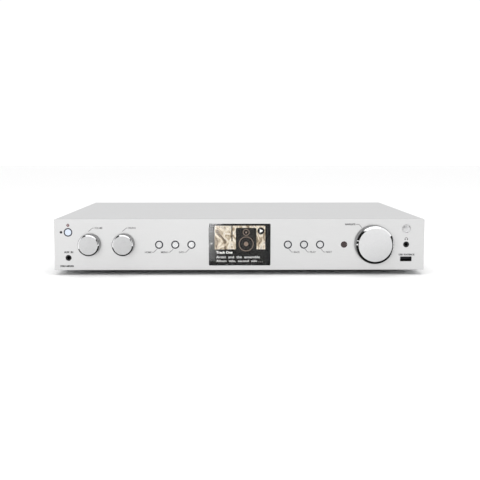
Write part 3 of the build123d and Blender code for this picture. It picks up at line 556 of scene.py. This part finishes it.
def build_dome_button(node):
    """Shallow dome that curves back to a rim just in front of the panel."""
    front, back = depths(node)
    radius, rim = 4.7, -0.3
    steps, steepest_deg = 10, 80
    shoulder, shoulder_back = 8.1, 9.2
    turns = [math.radians(steepest_deg * i / steps) for i in range(steps + 1)]
    drop = (rim - front) / (1 - math.cos(turns[-1]))
    reach = radius / math.sin(turns[-1])
    profile = [(reach * math.sin(t), front + drop * (1 - math.cos(t))) for t in turns]
    profile += shoulder_and_stem(radius, radius_of(node), shoulder, shoulder_back, back)
    mesh = lathe(node + "_dome", profile, segments=96)
    piece = add_piece(node + "_dome", mesh, ["dome"], node, place_on_panel(node), bevel_mm=0.06)
    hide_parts(node)


# ---------------------------------------------------------------- printed legends
INK_PROUD, INK_SUNK = 0.03, 0.02  # how far printing stands out of a face and reaches into it
WORD_HEIGHT = 2.2
LEADER_WIDTH = 0.46

SMALL_KNOB_LEADER = ((-1.8, 15.6), (3.0, 19.6), (4.4, 19.6))
LARGE_KNOB_LEADER = ((-13.7, 19.8), (-17.1, 23.6), (-20.4, 23.6))
LEFT_LEADER = ((-2.3, -5.0), (-6.4, -8.8), (-8.2, -8.8))
RIGHT_LEADER = ((1.0, -4.9), (4.4, -8.8), (6.3, -8.8))

# node, leader line, words at its end, the words' left and right ends, extra weight
# (places are measured from the node's centre)
LEADER_WORDS = (
    ("volume_knob", SMALL_KNOB_LEADER, "VOLUME", 5.2, 14.5, 0.0),
    ("source_knob", SMALL_KNOB_LEADER, "SOURCE", 5.2, 13.8, 0.0),
    ("navigation_knob", LARGE_KNOB_LEADER, "NAVIGATE", -33.2, -21.3, 0.08),
    ("menu_button_1", LEFT_LEADER, "HOME", -16.6, -8.9, 0.0),
    ("menu_button_2", LEFT_LEADER, "MENU", -16.6, -8.9, 0.0),
    ("menu_button_3", LEFT_LEADER, "INFO", -14.5, -8.9, 0.0),
    ("menu_button_4", RIGHT_LEADER, "BACK", 7.2, 14.0, 0.0),
    ("menu_button_5", RIGHT_LEADER, "PLAY", 7.2, 14.0, 0.0),
    ("menu_button_6", RIGHT_LEADER, "NEXT", 7.2, 14.0, 0.0),
)

# node, words, their left and right ends, height above the floor, letter height, extra weight
LOOSE_WORDS = (
    ("aux_jack", "AUX  IN", -4.9, 5.4, 27.0, 2.3, 0.13),
    ("aux_jack", "STEREO AMPLIFIER", -9.8, 5.9, 10.6, 2.1, 0.12),
    ("usb_socket", "USB  PLAYBACK", -8.3, 10.2, 23.7, 2.1, 0.14),
)


def build_legends():
    near, far = FACE - INK_PROUD, FACE + INK_SUNK
    ink, red_ink = range(2)
    bm = bmesh.new()

    def shape(outline, material=ink):
        add_prism(bm, outline, near, far, material)

    def words(text, left, right, z, height, weight):
        """Heavier words are drawn twice, a little to each side."""
        for shift in (-weight, weight) if weight else (0,):
            add_text(bm, text, left + shift, right + shift, z, height, near, far, ink, bold=0.012)

    for node, leader, text, left, right, weight in LEADER_WORDS:
        x = centre(node).x
        points = [(x + dx, ROW + dz) for dx, dz in leader]
        for start, end in zip(points, points[1:]):
            shape(strip(start, end, LEADER_WIDTH))
        words(text, x + left, x + right, points[-1][1], WORD_HEIGHT, weight)
    for node, text, left, right, z, height, weight in LOOSE_WORDS:
        x = centre(node).x
        words(text, x + left, x + right, z, height, weight)
    # headphone symbol: a band and two ear pads
    x, z = centre("headphone_jack").x, centre("headphone_jack").z + 6.9
    shape(arc_band(x, z - 0.4, 1.25, 1.8, 0, 180))
    for side in (-1, 1):
        shape(rounded_rectangle(x + side * 1.35, z - 1.0, 1.0, 1.7, 0.4))
    # standby symbol: a broken ring and a bar
    x, z = centre("standby_button").x, 58.4
    shape(arc_band(x, z, 0.7, 1.7, 125, 415), red_ink)
    shape(strip((x, z), (x, z + 2.0), 0.8), red_ink)
    # dark ring round the light sensor
    sensor = centre("sensor_lens")
    shape(ring(sensor.x, sensor.z, radius_of("sensor_lens") + 0.02, 1.5))
    piece = add_piece("panel_legends", to_mesh("panel_legends", bm), ["ink", "red_ink"], ROOT)


# ---------------------------------------------------------------- painted shade at the cover's joint
def build_seam_shade_strip():
    """Thin dark strip in the joint between the front panel and the cover: painted shade that stands in for
    the shadow in the gap.
    """
    bm = bmesh.new()
    inset = 1.2  # from the panel's ends and from the cover's top
    top = PANEL_HIGH.z - 0.01
    near, far = PANEL_HIGH.y - 0.02, PANEL_HIGH.y + 0.9
    outline = rectangle(PANEL_LOW.x + inset, PANEL_HIGH.x - inset, COVER_TOP - inset, top)
    add_prism(bm, outline, near, far)
    # the strip's dark rubber finish is painted shade, put where the joint's shadow falls
    piece = add_piece("painted_seam_shade", to_mesh("painted_seam_shade", bm), ["rubber"], ROOT)


# ---------------------------------------------------------------- rear connections
def solid_centres(node):
    """Centre of each separate solid of a CAD node, the lowest row first, each row from left to right."""
    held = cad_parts[node]
    bm = bmesh.new()
    bm.from_mesh(held.data)
    bmesh.ops.remove_doubles(bm, verts=bm.verts, dist=1e-6)
    unseen, centres = set(bm.verts), []
    while unseen:
        stack, island = [unseen.pop()], []
        while stack:
            vert = stack.pop()
            island.append(held.matrix_world @ vert.co / MM)
            for edge in vert.link_edges:
                other = edge.other_vert(vert)
                if other in unseen:
                    unseen.remove(other)
                    stack.append(other)
        low = Vector([min(p[i] for p in island) for i in range(3)])
        high = Vector([max(p[i] for p in island) for i in range(3)])
        centres.append((low + high) / 2)
    bm.free()
    return sorted(centres, key=lambda c: (round(c.z, 1), c.x))


def build_phono_sockets():
    """Plated sleeves with a coloured insulator just inside their mouths: white for left, red for right."""
    start, end = depths("rca_sleeves")
    sleeve, neck, mouth, hole = 4.15, 3.7, 3.45, 1.65
    chamfer, inset = 0.5, 0.45
    hole_depth = 13.0
    shoulder = REAR - FACE + 1.2
    profile = [
        (0, end - hole_depth),
        (hole, end - hole_depth),
        (hole, end - inset),
        (mouth, end - inset),
        (mouth, end),
        (sleeve - chamfer, end),
        (sleeve, end - chamfer),
        (sleeve, shoulder),
        (neck, shoulder),
        (neck, start),
        (0, start),
    ]
    plated, white, red, black = range(4)
    joined = bmesh.new()
    for place in solid_centres("rca_sleeves"):
        insulator = red if place.z < centre("rca_sleeves").z else white
        bands = [black, black, insulator] + [plated] * 7
        mesh = lathe("phono_socket", profile, segments=64, bands=bands)
        mesh.transform(Matrix.Translation((place.x * MM, FACE * MM, place.z * MM)))
        joined.from_mesh(mesh)
        bpy.data.meshes.remove(mesh)
    finishes = ["nickel", "white", "red", "black"]
    piece = add_piece("phono_sockets", to_mesh("phono_sockets", joined), finishes, ROOT)
    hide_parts("rca_sleeves")


def build_rear_legends():
    bm = bmesh.new()

    def words(text, x, z, width, height=2.0):
        left, right = x - width / 2, x + width / 2
        add_text(bm, text, left, right, z, height, REAR + INK_PROUD, REAR - INK_SUNK, mirrored=True)

    terminal, inlet, switch = centre("terminal_block"), centre("mains_inlet"), centre("mains_switch_housing")
    antenna, network = centre("antenna_socket"), centre("network_socket")
    levers = [centre(f"terminal_lever_{i}").x for i in range(1, 5)]
    words("SPEAKERS  4-8", terminal.x, terminal.z + 17.0, 27)
    for x, mark, height in zip(levers, "+-+-", (1.9, 0.5, 1.9, 0.5)):
        words(mark, x, terminal.z - 16.0, 1.9, height)
    for mark, pair, width in (("R", levers[:2], 1.8), ("L", levers[2:], 1.6)):
        words(mark, sum(pair) / 2, terminal.z - 19.8, width)
    sockets = solid_centres("rca_sleeves")
    lower, upper = sockets[:3], sockets[3:]
    for place, text, width in zip(upper, ("OUT", "IN 2", "IN 1"), (5.4, 6.0, 6.0)):
        words(text, place.x, place.z + 8.6, width)
    for mark, place, width in (("L", upper[-1], 1.6), ("R", lower[-1], 1.8)):
        words(mark, place.x + 8.6, place.z, width, 2.2)
    words("ANTENNA", antenna.x, antenna.z + 10.6, 14)
    words("NETWORK", network.x, PANEL_LOW.z + 29.0, 14)
    words("POWER", switch.x, switch.z + 11.5, 10)
    words("MAINS INPUT", inlet.x, inlet.z + 12.6, 21)
    piece = add_piece("rear_legends", to_mesh("rear_legends", bm), ["ink"], ROOT)


# ---------------------------------------------------------------- screen
def build_lens():
    """Acrylic window, a hair clear of the panel round it and of the frame behind it."""
    gap, corner = 0.05, 1.3
    middle = centre("display_lens")
    width = LENS_HIGH.x - LENS_LOW.x - 2 * gap
    height = LENS_HIGH.z - LENS_LOW.z - 2 * gap
    bm = bmesh.new()
    outline = rounded_rectangle(middle.x, middle.z, width, height, corner - gap)
    add_prism(bm, outline, LENS_LOW.y, LENS_HIGH.y - gap)
    piece = add_piece("lens_window", to_mesh("lens_window", bm), ["lens"], ROOT, bevel_mm=0.12)
    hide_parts("display_lens")


def build_lens_mark():
    """Small pale dot on the lens, left of the picture."""
    middle = centre("display_lens")
    bm = bmesh.new()
    add_prism(bm, disc(middle.x - 32.6, middle.z + 1.2, 1.0), FACE - 0.02, FACE + 0.03)
    piece = add_piece("lens_mark", to_mesh("lens_mark", bm), ["pale_dot"], ROOT)


def build_screen():
    """The lit picture in front of the screen module, in thin layers; z is measured from the row."""
    middle = centre("display_lens").x
    black, art, dark, warm, white, grey = range(6)
    bm = bmesh.new()

    def layer(level):
        """Front and back of a layer; each level lies a little further forward."""
        front = SCREEN - 0.08 * level
        return front, front + 0.05

    def shape(outline, level, material):
        add_prism(bm, [(middle + x, ROW + z) for x, z in outline], *layer(level), material)

    shape(rectangle(-29.9, 29.9, -22.4, 22.4), 1, black)
    shape(rectangle(-29.2, 29.9, -5.8, 21.9), 2, art)
    # a door post on the wall and a dark loudspeaker with two drive units
    shape(rectangle(-9.6, -8.3, 4.0, 21.9), 3, dark)
    shape(rounded_rectangle(7.6, 5.6, 24.0, 27.6, 1.6), 3, dark)
    for z, surround, dust_cap in ((0.6, 8.6, 2.6), (14.2, 3.9, 1.1)):
        shape(ring(7.6, z, surround - 0.7, surround, 48), 4, warm)
        shape(disc(7.6, z, dust_cap, 32), 4, warm)
    # round badge with a play triangle
    shape(disc(24.9, 15.9, 4.15, 48), 5, black)
    shape([(23.5, 13.7), (27.4, 15.9), (23.5, 18.1)], 6, white)
    near, far = layer(4)
    for text, left, right, z, height, material, bold in (
        ("Track One", -27.4, -8.4, -9.3, 3.0, white, 0.02),
        ("Artist  and  the  ensemble", -27.4, 23.6, -14.8, 2.9, grey, 0.01),
        ("Album  title,  second  side . . .", -27.4, 27.1, -19.6, 2.9, grey, 0.01),
    ):
        add_text(bm, text, middle + left, middle + right, ROW + z, height, near, far, material, bold=bold)
    finishes = ["screen_black", "artwork", "screen_dark", "screen_warm", "screen_white", "screen_grey"]
    piece = add_piece("screen_picture", to_mesh("screen_picture", bm), finishes, ROOT)


# ---------------------------------------------------------------- studio, in metres
FACE_Y = FACE * MM
ROW_Z = ROW * MM


def add_sheet(name, points, material):
    """A flat sheet of the studio, which isn't part of the object."""
    bm = bmesh.new()
    bm.faces.new([bm.verts.new(p) for p in points])
    mesh = bpy.data.meshes.new(name)
    bm.to_mesh(mesh)
    bm.free()
    mesh.materials.append(material)
    sheet = bpy.data.objects.new(name, mesh)
    bpy.context.scene.collection.objects.link(sheet)
    return sheet


def add_card(name, points, material):
    """A flag or reflector that only mirror-like surfaces see."""
    card = add_sheet(name, points, material)
    card.visible_camera = False
    card.visible_diffuse = False
    card.visible_shadow = False
    card.visible_transmission = False
    return card


def matt(name, tone, **sockets):
    """Dull grey card or cloth."""
    return Surface(name, (tone, tone, tone), roughness=1.0, Specular_IOR_Level=0.0, **sockets)


def lens_reflection():
    """Glow on the floor that the window mirrors: bright far off on the left, dark to the right."""
    made = matt("lens_reflection", 0.0)
    place = made.node("ShaderNodeSeparateXYZ")
    made.link(made.node("ShaderNodeTexCoord").outputs["Object"], place.inputs["Vector"])

    def fade(axis, start, end, low, high, **settings):
        """Value that goes from low to high as the place goes from start to end."""
        spread = made.node("ShaderNodeMapRange", **settings)
        made.link(place.outputs[axis], spread.inputs["Value"])
        for socket, value in (("From Min", start), ("From Max", end), ("To Min", low), ("To Max", high)):
            spread.inputs[socket].default_value = value
        return spread.outputs["Result"]

    across = fade("X", -0.050, -0.018, 1.0, 0.0, interpolation_type="SMOOTHSTEP")
    away = fade("Y", -0.10, -0.60, 5.0, 14.0)
    strength = made.node("ShaderNodeMath", operation="MULTIPLY_ADD")
    made.link(across, strength.inputs[0])
    made.link(away, strength.inputs[1])
    strength.inputs[2].default_value = 0.03  # what is left on the dark side
    made.link(strength.outputs["Value"], made.shader.inputs["Emission Strength"])
    made.shader.inputs["Emission Color"].default_value = (1, 1, 1, 1)
    return made.material


def build_flags():
    """Dark flags at both sides, behind the camera and on the floor, the gap's scrim and the window's glow."""
    dark = matt("dark_flag", 0.01).material
    side = 0.8
    slit_low, slit_high = 0.18, 0.23  # a bright line between the two left flags
    lower_left = [(-0.17, 0.0), (-0.17, slit_low), (-1.4, slit_low), (-1.4, 0.0)]
    upper_left = [(-0.17, slit_high), (-0.17, 1.2), (-0.52, 1.4), (-1.1, 2.05), (-1.4, 2.05)]
    upper_left.append((-1.4, slit_high))
    walls = (
        ("left_flag_lower", -side, lower_left),
        ("left_flag_upper", -side, upper_left),
        ("right_flag", side, [(-0.40, 0.0), (-0.40, 0.8), (-0.9, 0.8), (-0.9, 0.0)]),
        ("near_right_flag", side, [(-0.02, 0.0), (-0.02, 0.27), (-0.22, 0.27), (-0.22, 0.0)]),
    )
    for name, x, outline in walls:
        add_card(name, [(x, FACE_Y + y, z) for y, z in outline], dark)
    behind = [(-0.9, 0.0), (0.44, 0.0), (0.44, 0.30), (0.10, 0.30), (-0.10, 0.07), (-0.9, 0.07)]
    add_card("back_flag", [(x, FACE_Y - 1.7, z) for x, z in behind], dark)
    floor = [
        (-0.262, -0.010),
        (0.80, -0.010),
        (0.80, -0.12),
        (0.22, -0.05),
        (0.09, -0.06),
        (0.085, -0.12),
        (-0.09, -0.14),
        (-0.80, -0.47),
        (-0.80, -0.42),
        (-0.15, -0.13),
        (-0.15, -0.05),
        (-0.262, -0.05),
    ]
    add_card("floor_flag", [(x, FACE_Y + y, 0.0004) for x, y in floor], dark)
    # thin gauze that keeps some of the low light out of the gap under the panel
    gap = [(-0.208, 0.0002), (0.212, 0.0002), (0.206, 0.0054), (-0.200, 0.0054)]
    gauze = matt("gap_scrim", 0.02, Alpha=0.12).material
    scrim = add_card("gap_scrim", [(x, FACE_Y + 0.0005, z) for x, z in gap], gauze)
    scrim.visible_diffuse = True
    scrim.visible_shadow = True
    corners = [(-0.065, -0.115, 0.0), (0.085, -0.115, 0.0), (0.085, -0.70, 0.0), (-0.065, -0.70, 0.0)]
    glow = add_card("lens_reflection", corners, lens_reflection())
    glow.location = (0, FACE_Y, 0.0006)


def add_softbox(name, place, size, energy):
    light = bpy.data.lights.new(name, "AREA")
    light.shape = "RECTANGLE"
    light.size, light.size_y = size
    light.energy = energy
    lamp = bpy.data.objects.new(name, light)
    bpy.context.scene.collection.objects.link(lamp)
    lamp.location = place
    return lamp


def shine_only_on(lamp, objects):
    receivers = bpy.data.collections.new("lit_by_" + lamp.name)
    for each in objects:
        receivers.objects.link(each)
    lamp.light_linking.receiver_collection = receivers


def build_studio():
    """Pale floor, white surroundings, and soft lights from above and from the front left."""
    pieces = [each for each in bpy.context.scene.collection.objects if each.type == "MESH"]
    half = 6.0
    corners = [(-half, -half, 0), (half, -half, 0), (half, half, 0), (-half, half, 0)]
    pale = Surface("studio_floor", (0.93, 0.93, 0.93), roughness=0.8).material
    floor = add_sheet("studio_floor", corners, pale)

    world = bpy.data.worlds.new("studio")
    world.use_nodes = True
    bpy.context.scene.world = world
    background = world.node_tree.nodes["Background"]
    background.inputs["Color"].default_value = (1, 1, 1, 1)
    background.inputs["Strength"].default_value = 1.05

    add_softbox("top_softbox", (0.0, -0.35, 1.3), size=(1.6, 1.0), energy=2.5)
    floor_light = add_softbox("floor_softbox", (0.0, -0.1, 1.3), size=(0.9, 0.6), energy=3.5)
    shine_only_on(floor_light, [floor])
    fill = add_softbox("panel_fill", (-0.30, -1.3, 0.28), size=(0.7, 0.4), energy=5.2)
    aim = Vector((0.0, FACE_Y, ROW_Z)) - fill.location
    fill.rotation_euler = aim.to_track_quat("-Z", "Y").to_euler()
    fill.visible_glossy = False
    shine_only_on(fill, pieces)
    bpy.context.scene.view_settings.view_transform = "Standard"


def build_camera():
    """A long lens, a little left of the middle and above the panel."""
    downward_deg, turned_deg = 6.28, -0.64  # turned a little to the right
    camera = bpy.data.cameras.new("camera")
    camera.sensor_width = 36.0
    camera.lens = 62.6
    holder = bpy.data.objects.new("camera", camera)
    bpy.context.scene.collection.objects.link(holder)
    holder.location = (-0.0104, FACE_Y - 0.9663, 0.1474)
    holder.rotation_euler = (math.radians(90 - downward_deg), 0, math.radians(turned_deg))
    bpy.context.scene.camera = holder


# ---------------------------------------------------------------- everything
build_camera()
finish_cad_nodes()
for knob, bevel in (("volume", 1.7), ("source", 1.7), ("navigation", 2.9)):
    build_knob(knob + "_knob", knob + "_dial", bevel)
for number in range(1, 7):
    build_button(f"menu_button_{number}", "button")
build_button("standby_button", "standby")
build_dome_button("speaker_button")
build_legends()
build_seam_shade_strip()
build_phono_sockets()
build_rear_legends()
build_lens()
build_lens_mark()
build_screen()
build_studio()
build_flags()
